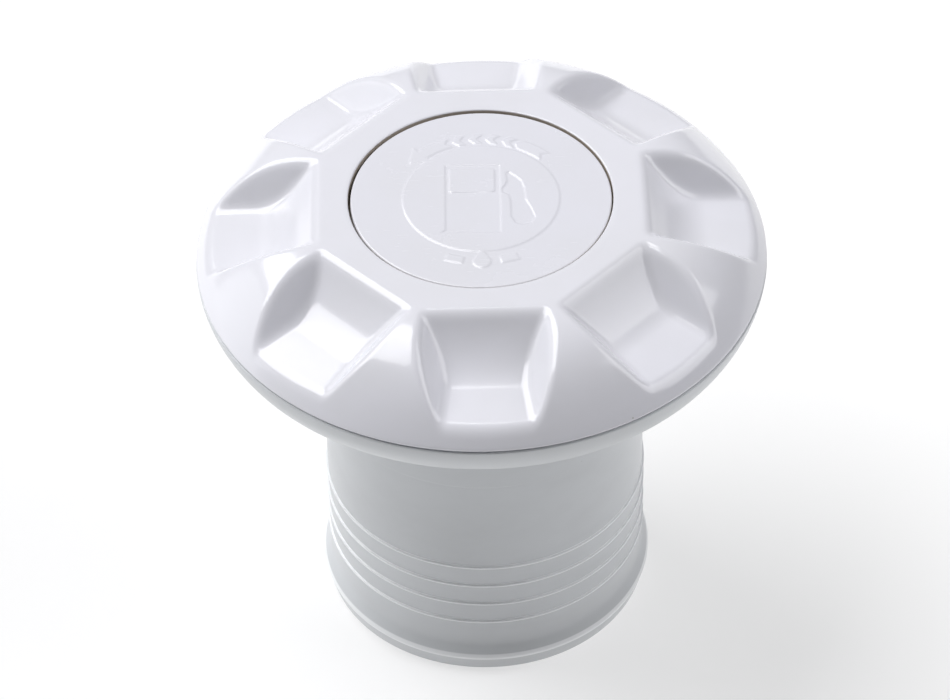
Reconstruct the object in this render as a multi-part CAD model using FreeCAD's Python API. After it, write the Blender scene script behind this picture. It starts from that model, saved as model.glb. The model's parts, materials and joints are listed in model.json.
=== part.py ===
import FreeCAD
import Part
import math
import os

# Deck fill cap: a flanged hose-tail neck with a screw cap that hides the flange.
# Millimetres. The origin is on the axis at the bottom of the hose tail, +Z up.

Vec = FreeCAD.Vector
up = Vec(0, 0, 1)

# Hose tail and collar of the neck
tail_r = 25.0
tail_wall = 3.0
tail_len = 40.4
barb_count = 4
barb_pitch = 4.08
barb_first_z = 10.6
barb_rise = 0.3
lip_rise = 1.25
lip_hollow_rise = 0.28
lip_z = 3.25
lip_blend_z = 7.0
tip_rise = 0.4
collar_step = 0.7
collar_len = 21.2
collar_fillet = 3.0

# Flange
flange_r = 43.5
flange_taper = 1.6
flange_bulge = 0.35
flange_t = 4.8
flange_rim_w = 3.0
flange_rim_rise = 1.0
screw_hole_count = 4
screw_hole_r = 2.3
screw_sink_r = 4.4
screw_sink_depth = 2.1
seat_ring_w = 3.4
seat_lead_in = 0.8

# Screw thread between neck and plug, right-handed, one start
thread_pitch = 5.0
thread_wall = 2.6
thread_height = 1.15
thread_gap = 0.35
thread_side_gap = 0.75
thread_crest_w = 1.7
neck_thread_turns = 2.0
plug_thread_turns = 1.5
thread_root_bite = 0.25
thread_runout = 0.4

# Seal ring and its seats
seal_section_r = 1.5
seal_fit = 0.05
seal_side_gap = 0.2
seal_land = 1.2
seat_wider = 0.9
seat_end_gap = 0.2
land_gap = 0.4

# Threaded plug
plug_wall = 2.6
plug_top_t = 1.8
plug_lip = 4.6
plug_tail_past_thread = 1.0

# Cap shell
cap_overhang = 0.35
cap_h = 11.0
seam_gap = 0.2
crown_power = 2.9
rim_drop = 0.35
shell_wall = 2.3
rim_land = 2.6
rim_round = 0.25
crown_land = 4.0
rib_t = 1.6
rib_clear = 0.6

# Grip recesses
recess_count = 8
recess_turn = 0.7
recess_in = 1.0
crease_run = 4.9
crease_drop = 6.0
crease_half_w = 5.6
floor_fall = 1.9
floor_run = 11.1
side_flare = 0.25
side_slope = 0.75
recess_scoop_r = 13.0
recess_side_r = 1.8
recess_rim_r = 0.7

# Label disc and the well under it
disc_r = 19.75
disc_gap = 0.25
disc_t = 1.6
disc_sunk = 0.25
disc_edge = 0.3
well_r = 15.0
well_depth = 2.4
hub_wall = 2.4
spigot_depth = 1.7
spigot_w = 1.5
spigot_gap = 0.1
snap_bead = 0.3
snap_drop = 1.1
snap_half_h = 0.5
snap_gap = 0.1
emboss_h = 0.15

# Raised and sunk marks on the disc
field_r = 11.9
pump_w = 8.3
pump_h = 15.1
pump_x = -1.25
pump_foot = 0.7
window_w = 6.9
window_h = 5.2
window_drop = 0.75
nozzle_outline = [
    (3.3, 1.35),
    (4.3, 0.75),
    (4.6, -4.2),
    (5.2, -5.6),
    (6.2, -6.0),
    (7.4, -5.6),
    (8.0, -4.4),
    (6.6, -0.4),
    (6.4, 2.4),
    (4.3, 5.7),
    (3.9, 5.5),
    (4.1, 3.8),
    (3.3, 2.2),
]
band_r = 13.4
band_w = 2.0
band_start = 44.0
band_end = 132.0
band_head = 12.0
band_head_w = 4.4
chevron_count = 3
chevron_step = 7.0
chevron_w = 2.45
chevron_lean = 3.15
drop_r = 1.5
bar_w = 1.6
bar_len = 2.6
bar_turn = 18.0

# Cap screws, four self-tapping screws under the label disc
screw_count = 4
screw_ring_r = 10.0
screw_r = 1.5
screw_len = 9.5
screw_head_r = 2.9
screw_head_h = 1.9
screw_head_round = 0.75
screw_point_len = 1.8
screw_point_r = 0.45
screw_pilot_gap = 0.05
screw_through_gap = 0.25
screw_end_gap = 0.6
boss_wall = 1.8
socket_depth = 0.8
socket_gap = 0.1
slot_w = 0.8
slot_len = 3.6
slot_depth = 1.0

# Lanyard swivel under the plug
swivel_boss_r = 4.2
swivel_boss_len = 8.6
swivel_washer_t = 0.8
swivel_washer_r = 5.4
swivel_t = 1.6
swivel_r = 5.6
swivel_reach = 11.0
swivel_eye_r = 1.9
swivel_eye_wall = 2.2
swivel_eye_round = 0.55
swivel_arm_w = 8.4
swivel_arm_taper = 0.9
swivel_play = 0.1
shoulder_r = 2.0
shoulder_fit = 0.06
swivel_screw_r = 1.4
swivel_screw_bite = 6.0
swivel_head_r = 4.0
swivel_head_h = 1.8

# Levels and radii that follow
bore_r = tail_r - tail_wall
collar_r = tail_r + collar_step
flange_z = tail_len + collar_len
neck_top = flange_z + flange_t
seam_z = neck_top + seam_gap
cap_r = flange_r + cap_overhang
crown_z = seam_z + cap_h
thread_r = collar_r - thread_wall
plug_r = thread_r - thread_height - thread_gap
plug_crest_r = thread_r - thread_gap
neck_crest_r = plug_r + thread_gap
plug_in_r = plug_r - plug_wall
seat_r = thread_r + seat_wider
land_r = seat_r - land_gap
groove_r = seat_r - 2 * seal_section_r - 2 * seal_fit
groove_top = seam_z - seal_land
groove_h = 2 * seal_section_r + 2 * seal_side_gap
groove_low = groove_top - groove_h
land_z = groove_low - seal_land
seat_z = land_z - seat_end_gap
seal_z = groove_low + groove_h / 2
plug_flange_r = seat_r + plug_lip
plug_flange_z = seam_z + plug_top_t
thread_base_w = thread_pitch - thread_side_gap - thread_crest_w
neck_thread_z = seat_z - thread_base_w / 2 - thread_runout - neck_thread_turns * thread_pitch
plug_thread_z = neck_thread_z + thread_pitch / 2
plug_low = plug_thread_z - thread_base_w / 2 - plug_tail_past_thread
bore_step_z = neck_thread_z - thread_base_w
screw_circle_r = (collar_r + flange_r) / 2
pocket_r = disc_r + disc_gap
crown_r = pocket_r + crown_land
recess_u = crown_r + recess_in
crease_u = recess_u + crease_run
crease_z = crown_z - crease_drop
disc_top = crown_z - disc_sunk
disc_low = disc_top - disc_t
well_z = disc_low - well_depth
hub_low = well_z - hub_wall
screw_tip_z = well_z - screw_len
pilot_low = screw_tip_z - screw_end_gap
boss_r = screw_r + boss_wall
swivel_boss_low = seam_z - swivel_boss_len
washer_low = swivel_boss_low - swivel_washer_t
swivel_top = washer_low - swivel_play
swivel_low = swivel_top - swivel_t
swivel_head_top = swivel_low - swivel_play


def path(start, *steps):
    """Edges in the r-z plane: a step of two numbers is a line, one of four is an arc through a point."""
    edges = []
    here = Vec(start[0], 0, start[1])
    for step in steps:
        end = Vec(step[-2], 0, step[-1])
        if len(step) == 4:
            edges.append(Part.Arc(here, Vec(step[0], 0, step[1]), end).toShape())
        else:
            edges.append(Part.LineSegment(here, end).toShape())
        here = end
    return edges


def turned(edges):
    """A solid of revolution about Z from a closed outline in the r-z plane."""
    face = Part.Face(Part.Wire(edges))
    return face.revolve(Vec(0, 0, 0), up, 360)


def turned_outline(start, *steps):
    return turned(path(start, *steps, start))


def disc(radius, low, high, x=0.0, y=0.0):
    return Part.makeCylinder(radius, high - low, Vec(x, y, low))


def polar(radius, degrees):
    turn = math.radians(degrees)
    return radius * math.cos(turn), radius * math.sin(turn)


def around(shape, count, start=0.0):
    """Copies of a shape, evenly spaced about Z."""
    copies = []
    for i in range(count):
        copy = shape.copy()
        copy.rotate(Vec(0, 0, 0), up, start + 360.0 / count * i)
        copies.append(copy)
    return copies


def fillet_circles(shape, size, radius, *heights):
    """Rounds the edges that are circles of that radius at those heights."""
    found = []
    for edge in shape.Edges:
        if isinstance(edge.Curve, Part.Circle) and abs(edge.Curve.Radius - radius) < 0.01:
            if any(abs(edge.Curve.Center.z - z) < 0.01 for z in heights):
                found.append(edge)
    return shape.makeFillet(size, found)


def helical_ridge(base_r, crest_r, base_w, crest_w, low, turns):
    """A trapezoid section carried up a right-handed helix, its base sunk into the wall it stands on."""
    sink = thread_root_bite if base_r < crest_r else -thread_root_bite
    root = base_r - sink
    slope = (base_w - crest_w) / 2 / abs(crest_r - base_r)
    root_w = base_w + 2 * slope * thread_root_bite
    corners = [
        Vec(root, 0, low - root_w / 2),
        Vec(crest_r, 0, low - crest_w / 2),
        Vec(crest_r, 0, low + crest_w / 2),
        Vec(root, 0, low + root_w / 2),
    ]
    section = Part.makePolygon(corners + corners[:1])
    helix = Part.makeHelix(thread_pitch, turns * thread_pitch, base_r)
    helix.translate(Vec(0, 0, low))
    return Part.Wire(helix.Edges).makePipeShell([section], True, True)


def beyond(point, normal):
    """A block that fills one side of a plane, used to trim a solid back to that plane."""
    size = 300.0
    block = Part.makeBox(size, size, size, Vec(-size / 2, -size / 2, 0))
    block.Placement = FreeCAD.Placement(point, FreeCAD.Rotation(up, normal))
    return block


def tail_outline():
    """Outer side of the hose tail: tip, lip, hollow blend and saw-tooth barbs, from the bottom up."""
    blend_mid_z = (lip_z + lip_blend_z) / 2
    steps = [
        (tail_r + lip_rise, lip_z),
        (tail_r + lip_hollow_rise, blend_mid_z, tail_r, lip_blend_z),
    ]
    for i in range(barb_count):
        ledge = barb_first_z + i * barb_pitch
        steps.append((tail_r + barb_rise, ledge))
        steps.append((tail_r, ledge))
    steps.append((tail_r, tail_len))
    return steps


def filler_neck():
    """Flange, collar, threaded socket and hose tail in one moulding."""
    rim_in = flange_r - flange_rim_w
    plate_z = neck_top - flange_rim_rise
    seat_ring_r = seat_r + seat_ring_w
    foot_r = flange_r - flange_taper
    edges = path(
        (tail_r + tip_rise, 0),
        *tail_outline(),
        (collar_r, tail_len + collar_step),
        (collar_r, flange_z),
        (foot_r, flange_z),
        (flange_r - flange_taper / 2 + flange_bulge, flange_z + flange_t / 2, flange_r, neck_top),
        (rim_in, neck_top),
        (rim_in, plate_z),
        (seat_ring_r, plate_z),
        (seat_ring_r, neck_top),
        (seat_r + seat_lead_in, neck_top),
        (seat_r, neck_top - seat_lead_in),
        (seat_r, seat_z),
        (thread_r, seat_z),
        (thread_r, bore_step_z),
        (bore_r, bore_step_z - (thread_r - bore_r)),
        (bore_r, 0),
        (tail_r + tip_rise, 0),
    )
    neck = turned(edges)
    neck = fillet_circles(neck, collar_fillet, collar_r, flange_z)
    hole = disc(screw_hole_r, flange_z - 1, neck_top, screw_circle_r)
    sink_low = Vec(screw_circle_r, 0, plate_z - screw_sink_depth)
    hole = hole.fuse(Part.makeCone(screw_hole_r, screw_sink_r, screw_sink_depth, sink_low))
    for cutter in around(hole, screw_hole_count, 180.0 / screw_hole_count):
        neck = neck.cut(cutter)
    ridge = helical_ridge(
        thread_r, neck_crest_r, thread_base_w, thread_crest_w, neck_thread_z, neck_thread_turns
    )
    return neck.fuse(ridge)


def crown_curve(outer_r, top_z, low_z, points=9):
    """The dome's section: flat to the crown radius, then falling by a power of the way to the rim."""
    places = []
    for i in range(points):
        share = i / (points - 1)
        fall = (top_z - low_z) * share**crown_power
        places.append(Vec(crown_r + (outer_r - crown_r) * share, 0, top_z - fall))
    curve = Part.BSplineCurve()
    curve.interpolate(places)
    return curve.toShape()


def between_recesses(shape):
    """Turns a solid of revolution so that its seam lies on a rib, clear of the recesses."""
    shape.rotate(Vec(0, 0, 0), up, recess_turn + 180.0 / recess_count)
    return shape


def dome_body():
    """The solid dome before it is hollowed."""
    rim_z = seam_z - rim_drop
    edges = path((cap_r, rim_z), (0, rim_z), (0, crown_z), (crown_r, crown_z))
    body = turned(edges + [crown_curve(cap_r, crown_z, rim_z)])
    body = body.cut(disc(cap_r + 1, rim_z - 1, seam_z))
    rim = [e for e in body.Edges if abs(e.BoundBox.ZMax - seam_z) < 0.01]
    return between_recesses(body.makeFillet(rim_round, rim))


def dome_hollow():
    """The space under the dome, before the recess floors stand in it."""
    inner_r = cap_r - rim_land
    ceiling = crown_z - shell_wall
    hub_r = well_r + hub_wall
    ledge_z = disc_low - hub_wall
    low = seam_z - 1
    edges = path(
        (inner_r, low),
        (0, low),
        (0, hub_low),
        (hub_r, hub_low),
        (hub_r, ledge_z),
        (pocket_r + shell_wall / 2, ledge_z),
        (crown_r, ceiling),
    )
    return between_recesses(turned(edges + [crown_curve(inner_r, ceiling, low)]))


def recess_block(grow):
    """A grip recess on the +X side before rounding: inner slope, floor and two side planes.

    grow moves each plane outwards, for the wall behind the recess."""
    length = cap_r + 12 - recess_u
    block = Part.makeBox(length + 20, 60, 40, Vec(recess_u - 20, -30, crease_z - 20))
    crease = Vec(crease_u, 0, crease_z)
    inner = Vec(-crease_drop, 0, -crease_run).normalize()
    floor = Vec(-floor_fall, 0, -floor_run).normalize()
    planes = [(crease, inner), (crease, floor)]
    for side in (-1, 1):
        corner = Vec(crease_u, side * crease_half_w, crease_z)
        planes.append((corner, Vec(-side_flare, side, -side_slope).normalize()))
    for point, normal in planes:
        block = block.cut(beyond(point + normal * grow, normal))
    return block


def recess(grow=0.0):
    """A grip recess on the +X side: slope and floor in one hollow sweep, rounded into both sides."""
    block = recess_block(grow)
    crease = []
    for edge in block.Edges:
        box = edge.BoundBox
        if box.YLength > crease_half_w and box.ZMax < crown_z and box.XMax < cap_r:
            crease.append(edge)
    block = block.makeFillet(recess_scoop_r + grow, crease)
    sides = [e for e in block.Edges if e.BoundBox.XLength > 1 and e.BoundBox.ZLength > 1]
    return block.makeFillet(recess_side_r + grow, sides)


def recess_rims(shell):
    """The edges where the recesses meet the dome: on the dome's face, but not its rings or its seam."""
    rims = []
    for face in shell.Faces:
        if not isinstance(face.Surface, Part.SurfaceOfRevolution):
            continue
        for edge in face.Edges:
            if not isinstance(edge.Curve, Part.Circle) and not edge.isSeam(face):
                rims.append(edge)
    return rims


def disc_pocket():
    """The space for the label disc: its pocket, the well under it and the groove for its snap bead."""
    snap_z = disc_low - snap_drop
    half = snap_half_h + snap_gap
    groove_r_out = well_r + snap_bead + snap_gap
    return turned_outline(
        (0, well_z),
        (well_r, well_z),
        (well_r, snap_z - half),
        (groove_r_out, snap_z),
        (well_r, snap_z + half),
        (well_r, disc_low),
        (pocket_r, disc_low),
        (pocket_r, crown_z + 1),
        (0, crown_z + 1),
    )


def stiffening_ribs():
    """Radial ribs under the dome, one between each two recesses, clear of the plug's flange."""
    low = plug_flange_z + rib_clear
    start = well_r + hub_wall / 2
    rib = Part.makeBox(cap_r - start, rib_t, crown_z - low, Vec(start, -rib_t / 2, low))
    dome = dome_body()
    first = recess_turn - 90 + 180.0 / recess_count
    return [web.common(dome) for web in around(rib, recess_count, first)]


def cap_shell():
    """The domed grip: recesses, ribs, seat for the label disc and hub with screw holes."""
    shell = dome_body()
    for pocket in around(recess(), recess_count, recess_turn - 90):
        shell = shell.cut(pocket)
    shell = shell.makeFillet(recess_rim_r, recess_rims(shell))
    hollow = dome_hollow()
    for backing in around(recess(shell_wall), recess_count, recess_turn - 90):
        hollow = hollow.cut(backing)
    shell = shell.cut(hollow)
    for rib in stiffening_ribs():
        shell = shell.fuse(rib)
    shell = fillet_circles(shell.cut(disc_pocket()), disc_edge, pocket_r, crown_z)
    hole = disc(screw_r + screw_through_gap, hub_low - 1, well_z + 1, screw_ring_r)
    socket = disc(boss_r + socket_gap, hub_low - 1, hub_low + socket_depth, screw_ring_r)
    for cutter in around(hole.fuse(socket), screw_count, 180.0 / screw_count):
        shell = shell.cut(cutter)
    return shell


def slab(corners, low, high):
    """A flat plate of that outline between two heights."""
    points = [Vec(x, y, low) for x, y in corners]
    face = Part.Face(Part.makePolygon(points + points[:1]))
    return face.extrude(Vec(0, 0, high - low))


def pump_mark():
    """A fuel pump pictogram: body with a foot, less its window, and a hose with a nozzle."""
    low = disc_top
    high = disc_top + 2 * emboss_h
    left = pump_x - pump_w / 2
    right = pump_x + pump_w / 2
    body = slab(
        [
            (left, -pump_h / 2 + pump_foot),
            (left - pump_foot, -pump_h / 2),
            (right, -pump_h / 2),
            (right, pump_h / 2),
            (left, pump_h / 2),
        ],
        low,
        high,
    )
    window_top = pump_h / 2 - window_drop
    window = slab(
        [
            (pump_x - window_w / 2, window_top - window_h),
            (pump_x + window_w / 2, window_top - window_h),
            (pump_x + window_w / 2, window_top),
            (pump_x - window_w / 2, window_top),
        ],
        low,
        high,
    )
    nozzle = slab(nozzle_outline, low, high)
    return body.cut(window).fuse(nozzle)


def band_piece(start, end, low, high):
    """A stretch of the curved band between two angles."""
    outer = disc(band_r + band_w / 2, low, high)
    ring = outer.cut(disc(band_r - band_w / 2, low, high))
    reach = 2 * band_r
    corners = [(0, 0), polar(reach, start), polar(reach, (start + end) / 2), polar(reach, end)]
    wedge = slab(corners, low, high)
    return ring.common(wedge)


def turn_mark():
    """A curved arrow for the opening turn, its band broken by chevrons that point the same way."""
    low = disc_low + disc_t / 2
    high = disc_top + emboss_h
    middle = (band_start + band_end) / 2
    span = chevron_count * chevron_step
    pieces = [
        band_piece(band_start, middle - span / 2 - chevron_step / 2, low, high),
        band_piece(middle + span / 2 + chevron_step / 2, band_end, low, high),
        slab(
            [
                polar(band_r - band_head_w / 2, band_end),
                polar(band_r + band_head_w / 2, band_end),
                polar(band_r, band_end + band_head),
            ],
            low,
            high,
        ),
    ]
    for i in range(chevron_count):
        back = middle - span / 2 + i * chevron_step
        pieces.append(
            slab(
                [
                    polar(band_r - band_w / 2, back),
                    polar(band_r, back + chevron_lean),
                    polar(band_r + band_w / 2, back),
                    polar(band_r + band_w / 2, back + chevron_w),
                    polar(band_r, back + chevron_lean + chevron_w),
                    polar(band_r - band_w / 2, back + chevron_w),
                ],
                low,
                high,
            )
        )
    return pieces


def fluid_mark():
    """A drop with a short bar on each side, along the near edge of the disc."""
    low = disc_low + disc_t / 2
    high = disc_top + emboss_h
    centre_y = -band_r - band_w / 3
    drop = disc(drop_r, low, high, 0, centre_y)
    tip_x = drop_r * math.cos(math.radians(30))
    tip_y = centre_y + drop_r * math.sin(math.radians(30))
    tip = slab([(-tip_x, tip_y), (tip_x, tip_y), (0, centre_y + 2 * drop_r)], low, high)
    bar = Part.makeBox(bar_w, bar_len, high - low, Vec(-centre_y - bar_w / 2, -bar_len / 2, low))
    bars = []
    for turn in (-bar_turn, bar_turn):
        copy = bar.copy()
        copy.rotate(Vec(0, 0, 0), up, -90 + turn)
        bars.append(copy)
    return [drop.fuse(tip)] + bars


def label_disc():
    """The round insert over the screws, with a snap-in spigot below and low raised marks on top."""
    spigot_r = well_r - spigot_gap
    spigot_in = spigot_r - spigot_w
    spigot_low = disc_low - spigot_depth
    snap_z = disc_low - snap_drop
    plate = turned_outline(
        (0, disc_low),
        (spigot_in, disc_low),
        (spigot_in, spigot_low),
        (spigot_r - snap_gap, spigot_low),
        (spigot_r, snap_z - snap_half_h),
        (spigot_r + snap_bead, snap_z),
        (spigot_r, snap_z + snap_half_h),
        (spigot_r, disc_low),
        (disc_r, disc_low),
        (disc_r, disc_top),
        (0, disc_top),
    )
    plate = fillet_circles(plate, disc_edge, disc_r, disc_top)
    plate = plate.fuse(disc(field_r, disc_top - disc_t / 2, disc_top + emboss_h))
    plate = plate.cut(pump_mark())
    for mark in turn_mark() + fluid_mark():
        plate = plate.fuse(mark)
    return plate.removeSplitter()


def threaded_plug():
    """The inner cap: flange, groove for the seal ring, male thread, screw bosses and swivel boss."""
    tip_chamfer = plug_wall / 3
    plug = turned_outline(
        (0, plug_flange_z),
        (plug_flange_r, plug_flange_z),
        (plug_flange_r, seam_z),
        (land_r, seam_z),
        (land_r, groove_top),
        (groove_r, groove_top),
        (groove_r, groove_low),
        (land_r, groove_low),
        (land_r, land_z),
        (plug_r, land_z),
        (plug_r, plug_low + tip_chamfer),
        (plug_r - tip_chamfer, plug_low),
        (plug_in_r, plug_low),
        (plug_in_r, seam_z),
        (0, seam_z),
    )
    ridge = helical_ridge(
        plug_r, plug_crest_r, thread_base_w, thread_crest_w, plug_thread_z, plug_thread_turns
    )
    plug = plug.fuse(ridge).fuse(disc(swivel_boss_r, swivel_boss_low, plug_flange_z))
    pilot_top = swivel_boss_low + swivel_screw_bite + screw_end_gap
    plug = plug.cut(disc(swivel_screw_r + screw_pilot_gap, swivel_boss_low, pilot_top))
    boss = disc(boss_r, pilot_low - boss_wall, hub_low + socket_depth - socket_gap, screw_ring_r)
    pilot = disc(screw_r + screw_pilot_gap, pilot_low, hub_low + 1, screw_ring_r)
    start = 180.0 / screw_count
    for post in around(boss, screw_count, start):
        plug = plug.fuse(post)
    for hole in around(pilot, screw_count, start):
        plug = plug.cut(hole)
    return plug.removeSplitter()


def seal_ring():
    """The O-ring in the plug's groove."""
    return Part.makeTorus(groove_r + seal_fit + seal_section_r, seal_section_r, Vec(0, 0, seal_z))


def cross_slot(low, high, x=0.0):
    """A cross recess for a driver."""
    height = high - low
    one = Part.makeBox(slot_len, slot_w, height, Vec(x - slot_len / 2, -slot_w / 2, low))
    two = Part.makeBox(slot_w, slot_len, height, Vec(x - slot_w / 2, -slot_len / 2, low))
    return one.fuse(two)


def cap_screws():
    """The pan-head screws that hold the shell on the plug, under the label disc."""
    head_top = well_z + screw_head_h
    head = disc(screw_head_r, well_z, head_top, screw_ring_r)
    head = fillet_circles(head, screw_head_round, screw_head_r, head_top)
    slot = cross_slot(head_top - slot_depth, head_top, screw_ring_r)
    shank = disc(screw_r, screw_tip_z + screw_point_len, well_z, screw_ring_r)
    point = Part.makeCone(screw_point_r, screw_r, screw_point_len, Vec(screw_ring_r, 0, screw_tip_z))
    screw = head.cut(slot).fuse(shank).fuse(point).removeSplitter()
    return Part.makeCompound(around(screw, screw_count, 180.0 / screw_count))


def swivel_washer():
    """The slippery washer between the boss and the swivel."""
    outer = disc(swivel_washer_r, washer_low, swivel_boss_low)
    return outer.cut(disc(shoulder_r + swivel_play, washer_low, swivel_boss_low))


def lanyard_swivel():
    """The plate that turns under the plug, with an eye for the retaining lanyard."""
    eye_out = swivel_eye_r + swivel_eye_wall
    plate = disc(swivel_r, swivel_low, swivel_top)
    near = swivel_arm_w / 2
    far = near - swivel_arm_taper
    outline = [(0, -near), (swivel_reach, -far), (swivel_reach, far), (0, near)]
    arm = slab(outline, swivel_low, swivel_top)
    plate = plate.fuse(arm).fuse(disc(eye_out, swivel_low, swivel_top, swivel_reach))
    plate = plate.cut(disc(shoulder_r + shoulder_fit, swivel_low, swivel_top))
    plate = plate.cut(disc(swivel_eye_r, swivel_low, swivel_top, swivel_reach)).removeSplitter()
    return fillet_circles(plate, swivel_eye_round, swivel_eye_r, swivel_low, swivel_top)


def swivel_screw():
    """The shoulder screw that the swivel turns on."""
    head_low = swivel_head_top - swivel_head_h
    head = disc(swivel_head_r, head_low, swivel_head_top)
    head = fillet_circles(head, screw_head_round, swivel_head_r, head_low)
    head = head.cut(cross_slot(head_low, head_low + slot_depth))
    shoulder = disc(shoulder_r, swivel_head_top, swivel_boss_low)
    shank = disc(swivel_screw_r, swivel_boss_low, swivel_boss_low + swivel_screw_bite)
    return head.fuse(shoulder).fuse(shank).removeSplitter()


nodes = {
    "filler_neck": filler_neck,
    "cap_shell": cap_shell,
    "label_disc": label_disc,
    "threaded_plug": threaded_plug,
    "seal_ring": seal_ring,
    "cap_screws": cap_screws,
    "swivel_washer": swivel_washer,
    "lanyard_swivel": lanyard_swivel,
    "swivel_screw": swivel_screw,
}

os.makedirs("parts", exist_ok=True)
for name, build in nodes.items():
    shape = build()
    shape.exportStep(f"parts/{name}.step")
    state = "valid" if shape.isValid() else "NOT VALID"
    print(name, state, len(shape.Solids), "solids", round(shape.Volume), "mm3")
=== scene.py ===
import bpy
import json
import math
import numpy as np
from mathutils import Matrix, Vector


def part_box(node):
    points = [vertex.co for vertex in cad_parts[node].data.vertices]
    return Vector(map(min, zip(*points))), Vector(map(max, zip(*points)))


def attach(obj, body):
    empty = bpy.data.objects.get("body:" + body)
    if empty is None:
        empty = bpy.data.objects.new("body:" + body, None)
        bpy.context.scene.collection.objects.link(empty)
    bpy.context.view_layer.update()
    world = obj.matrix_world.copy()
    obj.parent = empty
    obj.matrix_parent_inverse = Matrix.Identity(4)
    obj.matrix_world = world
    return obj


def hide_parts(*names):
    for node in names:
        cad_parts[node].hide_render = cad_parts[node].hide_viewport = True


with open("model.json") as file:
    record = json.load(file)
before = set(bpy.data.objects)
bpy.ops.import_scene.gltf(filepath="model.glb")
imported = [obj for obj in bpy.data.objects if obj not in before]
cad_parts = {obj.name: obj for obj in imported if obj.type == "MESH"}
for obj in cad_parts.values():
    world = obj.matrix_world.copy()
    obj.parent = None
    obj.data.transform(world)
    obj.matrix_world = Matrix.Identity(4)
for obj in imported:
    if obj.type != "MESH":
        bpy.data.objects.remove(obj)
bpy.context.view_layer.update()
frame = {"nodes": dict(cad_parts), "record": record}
print("frame loaded:", len(frame["nodes"]), "nodes")

mm = 0.001

# levels and radii that the frame already has, in mm
capLow, capHigh = [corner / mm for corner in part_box("cap_shell")]
discLow, discHigh = [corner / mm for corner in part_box("label_disc")]
sealLow, sealHigh = [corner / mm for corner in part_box("seal_ring")]
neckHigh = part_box("filler_neck")[1] / mm
mounts = {m["name"]: m for m in frame["record"]["mounts"]}
boreR = mounts["flow_bore"]["dims"]["r_mm"]
tailR = mounts["hose_tail"]["dims"]["r_mm"]
tailLength = mounts["hose_tail"]["dims"]["length_mm"]
deckFace = mounts["deck_face"]["pos_m"][2] / mm
screwCircleR = mounts["deck_screws"]["dims"]["pcd_mm"] / 2
screwHoleR = mounts["deck_screws"]["dims"]["hole_r_mm"]
screwHoleCount = mounts["deck_screws"]["dims"]["count"]


# ---- meshes from arrays ----

def meshFrom(name, points, faces, body, sharpDeg=40.0, marks=None):
    # points is n x 3 in mm, faces a list of index arrays with 3 or 4 columns
    mesh = bpy.data.meshes.new(name)
    corners = np.concatenate([f.ravel() for f in faces]).astype(np.int32)
    totals = np.concatenate([np.full(len(f), f.shape[1], np.int32) for f in faces])
    starts = np.concatenate([[0], np.cumsum(totals)[:-1]]).astype(np.int32)
    mesh.vertices.add(len(points))
    mesh.vertices.foreach_set("co", (points * mm).astype(np.float32).ravel())
    mesh.loops.add(len(corners))
    mesh.loops.foreach_set("vertex_index", corners)
    mesh.polygons.add(len(totals))
    mesh.polygons.foreach_set("loop_start", starts)
    mesh.polygons.foreach_set("loop_total", totals)
    mesh.update(calc_edges=True)
    mesh.validate()
    mesh.polygons.foreach_set("use_smooth", np.ones(len(totals), bool))
    mesh.set_sharp_from_angle(angle=math.radians(sharpDeg))
    for key, values in (marks or {}).items():
        layer = mesh.attributes.new(key, "FLOAT", "POINT")
        layer.data.foreach_set("value", values.astype(np.float32).ravel())
    piece = bpy.data.objects.new(name, mesh)
    bpy.context.scene.collection.objects.link(piece)
    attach(piece, body)
    return piece


def ringFaces(rows, cols, first=0, closed=False):
    # quads between neighbouring rings, whose columns go round; they face outwards where the rows go up
    i = np.arange(rows if closed else rows - 1)[:, None]
    j = np.arange(cols)[None, :]
    nextJ = (j + 1) % cols
    nextI = (i + 1) % rows
    quads = np.stack([i * cols + j, i * cols + nextJ, nextI * cols + nextJ, nextI * cols + j], -1)
    return quads.reshape(-1, 4) + first


def capFan(ring, pole, flip):
    # triangles from a ring of indices to one pole
    after = np.roll(ring, -1)
    fan = np.stack([ring, after, np.full(len(ring), pole)], -1)
    return fan[:, ::-1] if flip else fan


def turnedPoints(radii, heights, angles):
    # radius and height arrays of rings x columns, turned about Z: x = r cos a, y = r sin a
    radii, heights, angles = np.broadcast_arrays(radii, heights, angles)
    return np.stack([radii * np.cos(angles), radii * np.sin(angles), heights], -1)


def roundedPath(corners, stepDeg=12.0):
    # an outline with each corner (r, z, radius) replaced by its tangent arc
    places = []
    for i, (r, z, radius) in enumerate(corners):
        here = np.array([r, z])
        if radius == 0 or i in (0, len(corners) - 1):
            places.append(here[None])
            continue
        back = np.array(corners[i - 1][:2]) - here
        on = np.array(corners[i + 1][:2]) - here
        back = back / np.hypot(*back)
        on = on / np.hypot(*on)
        half = math.acos(np.clip(back @ on, -1, 1)) / 2
        centre = here + (back + on) / np.hypot(*(back + on)) * radius / math.sin(half)
        a = here + back * radius / math.tan(half) - centre
        b = here + on * radius / math.tan(half) - centre
        sweep = math.atan2(a[0] * b[1] - a[1] * b[0], a @ b)
        steps = np.linspace(0, sweep, max(2, int(math.degrees(abs(sweep)) / stepDeg) + 2))
        turn = np.stack([np.cos(steps), np.sin(steps)], -1)
        places.append(centre + np.stack([turn @ [a[0], -a[1]], turn @ [a[1], a[0]]], -1))
    return np.concatenate(places)


def smoothMin(a, b, reach):
    # the lower of two heights, blended by a parabola where they differ by less than reach
    near = np.clip(reach - np.abs(a - b), 0, None) / reach
    return np.minimum(a, b) - near**2 * reach / 4


def smoothMax(a, b, reach):
    return -smoothMin(-a, -b, reach)


def easeStep(x, low, high):
    # 0 below low, 1 above high, an even S between
    share = np.clip((x - low) / (high - low), 0, 1)
    return share * share * (3 - 2 * share)


# ---- the domed cap ----

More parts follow.
